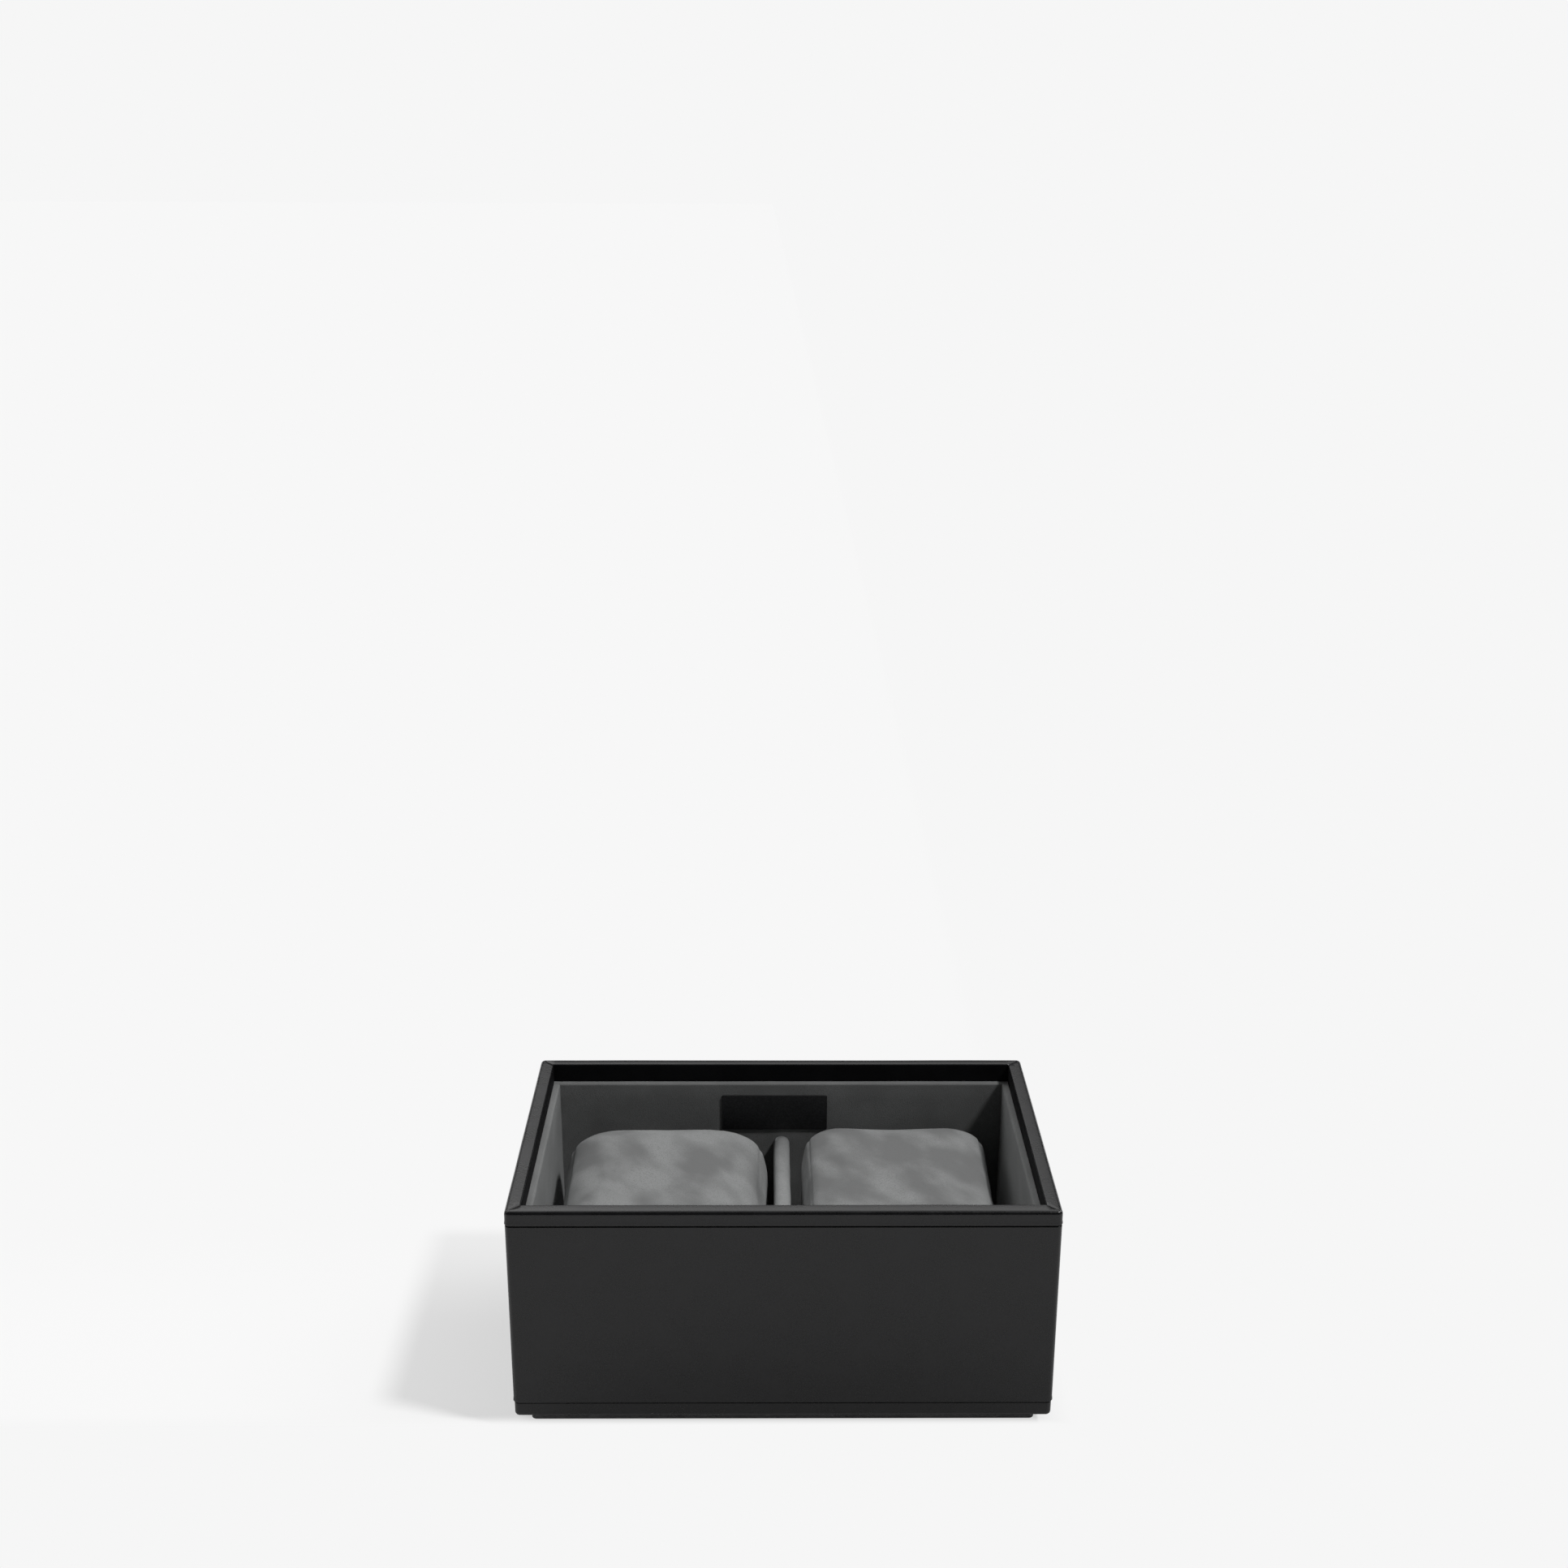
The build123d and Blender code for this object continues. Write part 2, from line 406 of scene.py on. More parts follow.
def leatherette(context, name="black_leatherette", roughness=0.26, shine=0.33):
    """Black coated fabric with a fine pebble grain."""
    colours = finish(context)
    material, shader = new_material(name)
    pebbles = shader.value(
        "ShaderNodeTexVoronoi",
        {"feature": "SMOOTH_F1"},
        {"Vector": shader.place(), "Scale": 1 / colours.grain_size, "Smoothness": 0.7},
    )
    wander = shader.noise(9 * MM, detail=3)
    fine = shader.noise(0.25 * MM, detail=3)
    dark = opaque(colours.leatherette_colour)
    light = opaque(colours.leatherette_colour, 1.55)
    grain = shader.bump(pebbles * -1 + fine * 0.35, 0.05 * MM, strength=0.5)
    shader.surface({
        "Base Color": shader.mix(wander.smooth(0.35, 0.7), dark, light),
        "Roughness": (wander - 0.5) * 0.12 + pebbles * 0.06 + roughness,
        "Specular IOR Level": shine,
        "Normal": shader.bump(wander, 0.06 * MM, strength=0.5, under=grain),
    })
    return material


def matt_leatherette(context):
    """The same black coated fabric where it is turned in and has no sheen."""
    return leatherette(context, "matt_leatherette", roughness=0.66, shine=0.1)


def handled_leatherette(context):
    """The same black coated fabric where hands have made it shine."""
    return leatherette(context, "handled_leatherette", shine=0.5)


def velvet(context, name="lining_velvet", marks=0.4, painted_lightness=1.0):
    """Short grey pile, brushed into soft lighter and darker patches."""
    colours = finish(context)
    material, shader = new_material(name)
    brushed_way = {"Vector": shader.place(), "Rotation": (0, 0, math.radians(28)), "Scale": (1, 1.8, 1)}
    place = shader.value("ShaderNodeMapping", {"vector_type": "TEXTURE"}, brushed_way)
    patches = shader.noise(colours.nap_size, detail=1, distortion=0.1, place=place)
    strokes = shader.noise(colours.nap_size / 3, detail=2, distortion=0.1, place=place)
    fibres = shader.noise(0.32 * MM, detail=2)
    brushed = ((patches * 0.8 + strokes * 0.2).smooth(0.3, 0.7) - 0.5) * marks + 0.5
    # All the velvet's colours are scaled by one factor. Above one, it paints a lighter copy that stands
    # for more light falling on the velvet, as on the divider's top.
    standing = opaque(colours.velvet_colour, painted_lightness)
    lying = opaque(colours.velvet_brushed, painted_lightness)
    between_fibres = opaque(colours.velvet_colour, 0.88 * painted_lightness)
    pile = shader.mix(brushed, standing, lying)
    lie = shader.bump(patches, 0.6 * MM, strength=0.3 * marks)
    shader.surface({
        "Base Color": shader.mix(fibres.smooth(0.2, 0.55), between_fibres, pile),
        "Roughness": 0.86 + fibres * 0.1,
        "Specular IOR Level": 0.1,
        "Sheen Weight": 0.12,
        "Sheen Roughness": 0.4,
        "Sheen Tint": (0.86, 0.89, 0.9, 1.0),
        "Normal": shader.bump(fibres, 0.12 * MM, strength=0.6, under=lie),
    })
    return material


def tab_leather(context):
    """Smooth black strip for the plain tab."""
    material, shader = new_material("black_tab")
    grain = shader.noise(0.5 * MM, detail=3)
    dark = opaque(finish(context).tab_colour)
    light = opaque(finish(context).tab_colour, 1.8)
    shader.surface({
        "Base Color": shader.mix(grain.smooth(0.35, 0.7), dark, light),
        "Roughness": 0.42 + grain * 0.12,
        "Specular IOR Level": 0.25,
        "Normal": shader.bump(grain, 0.03 * MM, strength=0.5),
    })
    return material


def felt(context):
    """Grey felt with loose fibres."""
    material, shader = new_material("grey_felt")
    fibres = shader.noise(0.5 * MM, detail=4, roughness=0.7, distortion=2.0)
    mottle = shader.noise(6 * MM, detail=2)
    dark = opaque(finish(context).felt_and_floor_light_colour)
    light = opaque(finish(context).felt_and_floor_light_colour, 1.6)
    shader.surface({
        "Base Color": shader.mix((fibres * 0.7 + mottle * 0.3).smooth(0.35, 0.7), dark, light),
        "Roughness": 0.9 + fibres * 0.08,
        "Specular IOR Level": 0.1,
        "Sheen Weight": 0.3,
        "Normal": shader.bump(fibres, 0.2 * MM, strength=0.7),
    })
    return material


def fibre_board():
    """Pressed wood fibre board, as its cut edges and faces look."""
    material, shader = new_material("fibre_board")
    fibres = shader.noise(0.8 * MM, detail=5, roughness=0.7, distortion=1.5)
    shader.surface({
        "Base Color": shader.mix(fibres.smooth(0.3, 0.7), (0.25, 0.16, 0.09, 1), (0.42, 0.3, 0.19, 1)),
        "Roughness": 0.75 + fibres * 0.15,
        "Normal": shader.bump(fibres, 0.1 * MM, strength=0.5),
    })
    return material


def grey_card():
    """Grey pulp card under the velvet."""
    material, shader = new_material("grey_card")
    pulp = shader.noise(1.4 * MM, detail=5, roughness=0.65)
    shader.surface({
        "Base Color": shader.mix(pulp.smooth(0.3, 0.7), (0.2, 0.19, 0.175, 1), (0.31, 0.3, 0.28, 1)),
        "Roughness": 0.82 + pulp * 0.1,
        "Normal": shader.bump(pulp, 0.06 * MM, strength=0.5),
    })
    return material


def foam():
    """Open-celled foam inside a pillow."""
    material, shader = new_material("cream_foam")
    cell_size = 1.1 * MM
    pattern = {"Vector": shader.place(), "Scale": 1 / cell_size}
    cells = shader.value("ShaderNodeTexVoronoi", None, pattern)
    shader.surface({
        "Base Color": shader.mix(cells, (0.5, 0.46, 0.36, 1), (0.74, 0.7, 0.6, 1)),
        "Roughness": 0.9 - cells * 0.1,
        "Normal": shader.bump(cells, 0.3 * MM, strength=0.6),
    })
    return material


def pale_floor(settings):
    """A plain floor that keeps the box's shadow at the left and is nearly flat colour elsewhere."""
    material, shader = new_material("pale_floor")
    plain_colour = opaque(settings.floor_colour)
    paint_colour = opaque(settings.floor_colour, 0.96)
    plain = shader.value("ShaderNodeEmission", None, {"Color": plain_colour, "Strength": 1.0})
    lit = shader.value("ShaderNodeBsdfDiffuse", None, {"Color": paint_colour})
    across, depth, _ = shader.parts(shader.place())
    before = (depth * -1).smooth(53 * MM, 60 * MM)
    beside = across.smooth(80 * MM, 100 * MM)
    behind = depth.smooth(0.0, 90 * MM) * 0.6
    plainer = before.larger(beside).larger(behind)
    share = plainer * (1 - settings.floor_flatness) + settings.floor_flatness
    shader.seen_mix(share, plain, lit, "ShaderNodeOutputMaterial")
    return material


# Shared mesh work


def placed(name, data):
    """A new object that holds the data, in the scene."""
    made = bpy.data.objects.new(name, data)
    bpy.context.scene.collection.objects.link(made)
    return made


def finish_piece(name, bm, material, replaced, body="tray", sharp_angle=50):
    """Turns a mesh into a piece that rides on its body and stands for a node of the frame."""
    bmesh.ops.remove_doubles(bm, verts=bm.verts, dist=ONE_POINT)
    bmesh.ops.recalc_face_normals(bm, faces=bm.faces)
    mesh = bpy.data.meshes.new(name)
    bm.to_mesh(mesh)
    bm.free()
    mesh.shade_smooth()
    mesh.set_sharp_from_angle(angle=math.radians(sharp_angle))
    mesh.materials.append(material)
    piece = placed(name, mesh)
    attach(piece, body)
    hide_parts(replaced)
    return piece


def arc(middle, radius, start, end, steps=6):
    """Points of an arc in a profile, by its angles in degrees."""
    points = []
    for step in range(steps + 1):
        angle = math.radians(start + (end - start) * step / steps)
        points.append((middle[0] + radius * math.cos(angle), middle[1] + radius * math.sin(angle)))
    return points


def outline_loop(bm, half, radius, cuts):
    """A rounded rectangle of edges in short lengths, with each point's place kept in a layer."""
    bmesh.ops.create_grid(bm, x_segments=1, y_segments=1, size=1.0)
    bmesh.ops.scale(bm, vec=(half.x, half.y, 1.0), verts=bm.verts)
    bmesh.ops.bevel(
        bm,
        geom=bm.verts[:],
        offset=radius,
        offset_type="ABSOLUTE",
        segments=8,
        profile=0.5,
        affect="VERTICES",
        material=-1,
    )
    long_sides = [edge for edge in bm.edges if edge.calc_length() > 2 * radius]
    bmesh.ops.subdivide_edges(bm, edges=long_sides, cuts=cuts)
    bmesh.ops.delete(bm, geom=bm.faces[:], context="FACES_ONLY")
    outer = bm.verts.layers.float_vector.new("outer")
    for vert in bm.verts:
        vert[outer] = vert.co
    return bm.edges[:]


def held(value, limit):
    """A value kept between a limit and its opposite."""
    return max(-limit, min(limit, value))


def inset_point(outer, half, radius, inset, height):
    """Where a point of the outline comes to when it is moved in by an inset and up to a height."""
    core = Vector((held(outer.x, half.x - radius), held(outer.y, half.y - radius)))
    out = (Vector(outer.xy) - core) / radius
    straight = max(inset, radius)
    turn = max(radius - inset, 0)
    x = held(outer.x, half.x - straight) + out.x * turn
    y = held(outer.y, half.y - straight) + out.y * turn
    return Vector((x, y, height))


def swept_round(half, radius, profile, cuts=48):
    """A closed profile of insets and heights, carried round a rounded rectangle."""
    bm = bmesh.new()
    edges = outline_loop(bm, half, radius, cuts)
    outer = bm.verts.layers.float_vector["outer"]
    for vert in bm.verts:
        vert.co = inset_point(vert[outer], half, radius, *profile[0])
    for inset, height in [*profile[1:], profile[0]]:
        made = bmesh.ops.extrude_edge_only(bm, edges=edges)["geom"]
        new_verts = {item for item in made if isinstance(item, bmesh.types.BMVert)}
        for vert in new_verts:
            vert.co = inset_point(vert[outer], half, radius, inset, height)
        new_edges = [item for item in made if isinstance(item, bmesh.types.BMEdge)]
        edges = [edge for edge in new_edges if new_verts.issuperset(edge.verts)]
    bmesh.ops.remove_doubles(bm, verts=bm.verts, dist=ONE_POINT)
    return bm


def block(low, high):
    """A box between two corners."""
    bm = bmesh.new()
    bmesh.ops.create_cube(bm, size=1.0)
    bmesh.ops.scale(bm, vec=high - low, verts=bm.verts)
    bmesh.ops.translate(bm, vec=(high + low) / 2, verts=bm.verts)
    return bm


def edges_where(bm, chosen):
    """The edges both of whose ends lie where the choice says."""
    return [edge for edge in bm.edges if all(chosen(vert.co) for vert in edge.verts)]


def length_along(edge, axis):
    """How far an edge reaches along an axis."""
    first, second = edge.verts
    return abs(first.co[axis] - second.co[axis])


def round_off(bm, edges, radius, segments):
    """Rounds some edges to a radius."""
    bmesh.ops.bevel(
        bm, geom=edges, offset=radius, segments=segments, profile=0.5, affect="EDGES", material=-1
    )


def cut_at(bm, point, normal, near=None):
    """Cuts the mesh along a plane, or only its faces near a point and within a reach."""
    faces = bm.faces[:]
    if near:
        middle, reach = near
        faces = [face for face in faces if (face.calc_center_median() - middle).length < reach]
    geometry = {item for face in faces for item in (*face.verts, *face.edges, face)}
    bmesh.ops.bisect_plane(bm, geom=list(geometry), dist=1e-7, plane_co=point, plane_no=normal)


def cut_evenly(bm, low, high, counts):
    """Cuts the mesh between two corners into a count of equal steps along each axis."""
    for axis, count in enumerate(counts):
        normal = Vector((0, 0, 0))
        normal[axis] = 1
        for step in range(1, count):
            point = low.copy()
            point[axis] = low[axis] + (high[axis] - low[axis]) * step / count
            cut_at(bm, point, normal)


def open_faces(bm, chosen):
    """Deletes the faces whose outward normal fits the choice."""
    bm.normal_update()
    faces = [face for face in bm.faces if chosen(face.normal)]
    bmesh.ops.delete(bm, geom=faces, context="FACES")


def unsettle(bm, amount, size, seed, freedom=None):
    """Moves points a little along their normals by smooth noise, less where they aren't free."""
    bm.normal_update()
    for vert in bm.verts:
        share = noise.noise(vert.co / size + Vector((seed, 3.7 * seed, 1.9 * seed)))
        free = freedom(vert.co) if freedom else 1.0
        vert.co += vert.normal * (share * amount * free)


# The leatherette outside


def folded_edge(low, lip, radius, fading, end):
    """Section of a wrap's folded lower edge. It stands proud by a lip, which fades and then ends."""
    fold_start = 0.1 * MM
    return [
        (WRAP_THICKNESS, low),
        (fold_start, low),
        *arc((radius - lip, low + radius), radius, 250, 180, 3),
        (-0.6 * lip, low + fading),
        (0, low + end),
    ]


class WATCHBOX_OT_rim(Operator):
    """Strip of leatherette folded over the rim and down into the recess"""

    bl_idname = "watchbox.rim"
    bl_label = "Rim Strip"

    def execute(self, context):
        sizes = shape(context)
        bm = swept_round(BOX_HALF, CORNER_RADIUS, self.section(sizes))
        self.slope_forwards(bm, sizes.rim_slope)
        for side_x in (-1, 1):
            for side_y in (-1, 1):
                self.fold_corner(bm, side_x, side_y, sizes.fold_depth)
        unsettle(bm, sizes.board_unevenness, size=22 * MM, seed=1.3)
        self.sort_faces(bm, sizes.rim_inner_rounding)
        strip = finish_piece("rim_strip", bm, leatherette(context), "rim_binding")
        strip.data.materials.append(matt_leatherette(context))
        strip.data.materials.append(handled_leatherette(context))
        return {"FINISHED"}

    def section(self, sizes):
        """Insets and heights up the outside, over the rim, down the recess and back inside."""
        top = BINDING_HIGH.z
        skin = WRAP_THICKNESS
        wall = WALL_THICKNESS
        outer = sizes.rim_rounding
        inner = sizes.rim_inner_rounding
        plain_end = 0.6 * MM
        return [
            *folded_edge(RIM_LOWER_EDGE, sizes.lip, radius=0.25 * MM, fading=0.8 * MM, end=1.4 * MM),
            (0, top - outer - plain_end),
            *arc((outer, top - outer), outer, 180, 90),
            (wall / 2, top),
            *arc((wall - inner, top - inner), inner, 90, 0),
            (wall, top - RIM_SLOPE_HEIGHT),
            (wall, BINDING_LOW.z),
            (wall - skin, BINDING_LOW.z),
            (wall - skin, top - outer),
            (wall - outer, top - skin),
            (outer, top - skin),
            (skin, top - outer),
        ]

    def slope_forwards(self, bm, slope):
        """Lowers the rim's outer edge, most at the front and not at all at the back."""
        for vert in bm.verts:
            inset = min(BOX_HALF.x - abs(vert.co.x), BOX_HALF.y - abs(vert.co.y))
            towards_front = 0.5 - vert.co.y / BOX_HALF.y / 2
            if vert.co.z > BINDING_HIGH.z - RIM_SLOPE_HEIGHT:
                vert.co.z -= slope * towards_front * (1 - inset / WALL_THICKNESS)

    def fold_corner(self, bm, side_x, side_y, depth):
        """Presses a mitred fold into the top of one corner."""
        half_width = 0.22 * MM
        reach = 9 * MM
        drop = 1.2 * MM
        corner = Vector((side_x * BOX_HALF.x, side_y * BOX_HALF.y, BINDING_HIGH.z))
        across = Vector((-side_y, side_x, 0)).normalized()
        for offset in (-half_width, 0, half_width):
            cut_at(bm, corner + across * offset, across, near=(corner, reach))
        for vert in bm.verts:
            away = vert.co - corner
            if away.length < reach and abs(away.dot(across)) < ON_CUT and away.z > -drop:
                vert.co.z -= depth

    def sort_faces(self, bm, inner_rounding):
        """Makes the face in the recess matt, and the top shiny except along the back."""
        bmesh.ops.recalc_face_normals(bm, faces=bm.faces)
        recess_top = BINDING_HIGH.z - inner_rounding
        reach = 0.2 * MM
        least_upward = 0.6
        for face in bm.faces:
            middle = face.calc_center_median()
            from_sides = abs(abs(middle.x) - OPENING_HALF.x)
            from_ends = abs(abs(middle.y) - OPENING_HALF.y)
            if min(from_sides, from_ends) < reach and middle.z < recess_top:
                face.material_index = 1
            elif face.normal.z > least_upward and middle.y < OPENING_HALF.y:
                face.material_index = 2


class WATCHBOX_OT_side_wrap(Operator):
    """Leatherette round the four sides, with its seam at the back"""

    bl_idname = "watchbox.side_wrap"
    bl_label = "Side Wrap"

    def execute(self, context):
        sizes = shape(context)
        bm = swept_round(BOX_HALF, CORNER_RADIUS, self.section(sizes.lip))
        self.press_seam(bm, 1.8 * sizes.fold_depth)
        unsettle(bm, sizes.board_unevenness, size=35 * MM, seed=2.1)
        finish_piece("side_wrap_cover", bm, leatherette(context), "side_wrap")
        return {"FINISHED"}

    def section(self, lip):
        """Insets and heights up the outside and into the groove under the rim strip."""
        low, high = WRAP_LOW.z, WRAP_HIGH.z
        radius = 0.3 * MM
        plain_low = low + 1.8 * MM
        plain_height = high - 1.4 * MM - plain_low
        levels = 8
        return [
            *folded_edge(low, lip, radius, fading=1.0 * MM, end=1.8 * MM),
            *((0, plain_low + plain_height * level / levels) for level in range(1, levels)),
            (0, high - 0.5 * MM),
            *arc((radius, high - radius), radius, 180, 90, 4),
            (GROOVE_DEPTH, high),
            (GROOVE_DEPTH, RIM_LOWER_EDGE),
            (WRAP_THICKNESS, RIM_LOWER_EDGE),
        ]

    def press_seam(self, bm, depth):
        """Presses the upright butt seam into the middle of the back."""
        half_width = 0.25 * MM
        outer_skin = 0.4 * MM
        back = Vector((0, BOX_HALF.y, (WRAP_LOW.z + WRAP_HIGH.z) / 2))
        for offset in (-half_width, 0, half_width):
            cut_at(bm, back + Vector((offset, 0, 0)), Vector((1, 0, 0)), near=(back, WRAP_HIGH.z))
        for vert in bm.verts:
            if abs(vert.co.x) < ON_CUT and vert.co.y > BOX_HALF.y - outer_skin:
                vert.co.y -= depth


class WATCHBOX_OT_base(Operator):
    """Leatherette round the base board, and felt round the plinth under it"""

    bl_idname = "watchbox.base"
    bl_label = "Base and Plinth Wraps"

    def execute(self, context):
        bm = swept_round(BASE_HIGH.xy, CORNER_RADIUS, self.base_section())
        unsettle(bm, shape(context).board_unevenness, size=30 * MM, seed=5.2)
        finish_piece("base_edge_wrap", bm, leatherette(context), "base_wrap")
        bm = swept_round(PLINTH_HIGH.xy, PLINTH_CORNER, self.plinth_section())
        # The plinth's light grey felt is partly the felt's own colour and partly painted light, standing
        # for the light that the floor throws up under the overhang.
        finish_piece("plinth_cover", bm, felt(context), "plinth_wrap")
        return {"FINISHED"}

    def base_section(self):
        """Insets and heights from behind the side wrap, down the board's edge and in under it."""
        skin = WRAP_THICKNESS
        low, high = BASE_LOW.z, BASE_HIGH.z
        top_radius = 0.25 * MM
        rounding = 1.3 * MM
        behind_gap = GROOVE_DEPTH - (WRAP_HIGH.x - BASE_HIGH.x)
        return [
            (skin, WRAP_LOW.z),
            (behind_gap, WRAP_LOW.z),
            (behind_gap, high - 0.1 * MM),
            *arc((top_radius, high - top_radius), top_radius, 120, 180, 4),
            (0, low + rounding + 0.3 * MM),
            *arc((rounding, low + rounding), rounding, 180, 270, 8),
            (TURN_IN, low),
            (TURN_IN, low + skin),
            (rounding, low + skin),
            (skin, low + rounding),
        ]

    def plinth_section(self):
        """Insets and heights down the plinth's edge and in under it."""
        skin = WRAP_THICKNESS
        low, high = PLINTH_LOW.z, PLINTH_HIGH.z
        rounding = 0.6 * MM
        return [
            (skin, high),
            (0, high),
            *arc((rounding, low + rounding), rounding, 180, 270),
            (TURN_IN, low),
            (TURN_IN, low + skin),
            (rounding, low + skin),
        ]


# The velvet inside


def give_thickness(piece):
    """Thickens a sheet of velvet inwards, away from its outer face."""
    modifier = piece.modifiers.new("thickness", "SOLIDIFY")
    modifier.thickness = CLOTH_THICKNESS
    modifier.offset = -1


class WATCHBOX_OT_lining(Operator):
    """Velvet over the four lining cards and the floor card"""

    bl_idname = "watchbox.lining"
    bl_label = "Velvet Lining"

    def execute(self, context):
        unevenness = shape(context).velvet_unevenness
        cloth = velvet(context)
        for side in LINING_SEEDS:
            self.line_side(side, unevenness, cloth)
        self.line_floor(0.5 * unevenness, cloth)
        return {"FINISHED"}

    def line_side(self, side, unevenness, cloth):
        """Velvet over one side's card, rounded over its top and held still along the wall."""
        node = f"{side}_lining_velvet"
        low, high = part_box(node)
        axis = 0 if side in ("left", "right") else 1
        inward = 1 if side in ("left", "front") else -1
        tuck = 0.1 * MM
        if inward > 0:
            low[axis] -= tuck
            outer, inner = low[axis], high[axis]
        else:
            high[axis] += tuck
            outer, inner = high[axis], low[axis]

        def on_top(point, place):
            return abs(point[axis] - place) < SAME_PLACE and abs(point.z - high.z) < SAME_PLACE

        def hidden(normal):
            return normal[axis] * inward < -FACING or normal.z < -FACING

        def freedom(point):
            return min(abs(point[axis] - outer) / MM, 1)

        bm = block(low, high)
        for place, radius in ((inner, 0.8 * MM), (outer, 0.4 * MM)):
            top_edge = edges_where(bm, lambda point: on_top(point, place))
            round_off(bm, top_edge, radius, segments=6)
        cut_evenly(bm, low, high, (1, 24, 10) if axis == 0 else (36, 1, 10))
        open_faces(bm, hidden)
        unsettle(bm, unevenness, size=16 * MM, seed=LINING_SEEDS[side], freedom=freedom)
        give_thickness(finish_piece(f"{side}_lining", bm, cloth, node))

    def line_floor(self, unevenness, cloth):
        """Velvet over the floor card."""
        low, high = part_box("floor_lining_velvet")
        bm = block(low, high)
        cut_evenly(bm, low, high, (36, 24, 1))
        unsettle(bm, unevenness, size=16 * MM, seed=12.4)
        finish_piece("floor_lining", bm, cloth, "floor_lining_velvet")


class WATCHBOX_OT_divider(Operator):
    """Velvet drawn over the divider's rounded top"""

    bl_idname = "watchbox.divider"
    bl_label = "Divider"

    def execute(self, context):
        low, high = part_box("divider_velvet")
        bm = block(low, high)
        top_edges = edges_where(bm, lambda point: point.z > high.z - SAME_PLACE)
        long_edges = [edge for edge in top_edges if length_along(edge, 0) < SAME_PLACE]
        round_off(bm, long_edges, radius=0.47 * (high.x - low.x), segments=8)
        cut_evenly(bm, low, high, (1, 36, 8))
        open_faces(bm, lambda normal: normal.z < -FACING or abs(normal.y) > FACING)
        unsettle(bm, 1.2 * shape(context).velvet_unevenness, size=11 * MM, seed=21.8)
        # The divider's velvet is painted a quarter lighter than the lining's, as a painted highlight for
        # the light that its rounded top catches.
        cloth = velvet(context, "divider_velvet", marks=0.8, painted_lightness=1.25)
        give_thickness(finish_piece("divider_cover", bm, cloth, "divider_velvet"))
        return {"FINISHED"}


class WATCHBOX_OT_tab(Operator):
    """Plain tab on the back lining"""

    bl_idname = "watchbox.tab"
    bl_label = "Plain Tab"

    def execute(self, context):
        low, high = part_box("blank_tab")
        bm = block(low, high)
        through = [edge for edge in bm.edges if length_along(edge, 1) > SAME_PLACE]
        round_off(bm, through, radius=0.6 * MM, segments=5)
        bm.normal_update()
        front = edges_where(bm, lambda point: point.y < low.y + SAME_PLACE)
        round_off(bm, front, radius=0.14 * MM, segments=3)
        finish_piece("plain_tab", bm, tab_leather(context), "blank_tab", sharp_angle=60)
        return {"FINISHED"}


# The pillows


def mesh_of(obj):
    """A working copy of an object's mesh."""
    bm = bmesh.new()
    bm.from_mesh(obj.data)
    return bm


def apply_modifiers(obj):
    """Makes an object's modifiers part of its mesh."""
    graph = bpy.context.evaluated_depsgraph_get()
    mesh = bpy.data.meshes.new_from_object(obj.evaluated_get(graph))
    obj.modifiers.clear()
    obj.data = mesh


def even_out(obj, voxel):
    """Gives an object an even mesh of small faces."""
    modifier = obj.modifiers.new("even", "REMESH")
    modifier.mode = "VOXEL"
    modifier.voxel_size = voxel
    apply_modifiers(obj)


def fill(obj, swell, pressure=4.0, last_frame=20, inward_share=0.3):
    """Fills a closed cover by simulated pressure. Points move out by up to the swell, and in by less."""
    scene = bpy.context.scene
    start = [(vert.co.copy(), vert.normal.copy()) for vert in obj.data.vertices]
    modifier = obj.modifiers.new("filling", "CLOTH")
    modifier.settings.use_pressure = True
    modifier.settings.uniform_pressure_force = pressure
    modifier.settings.effector_weights.gravity = 0.0
    for number in range(1, last_frame + 1):
        scene.frame_set(number)
    apply_modifiers(obj)
    scene.frame_set(1)
    for vert, (rest, normal) in zip(obj.data.vertices, start):
        moved = vert.co - rest
        limit = swell if moved.dot(normal) > 0 else inward_share * swell
        if moved.length > limit:
            vert.co = rest + moved * (limit / moved.length)


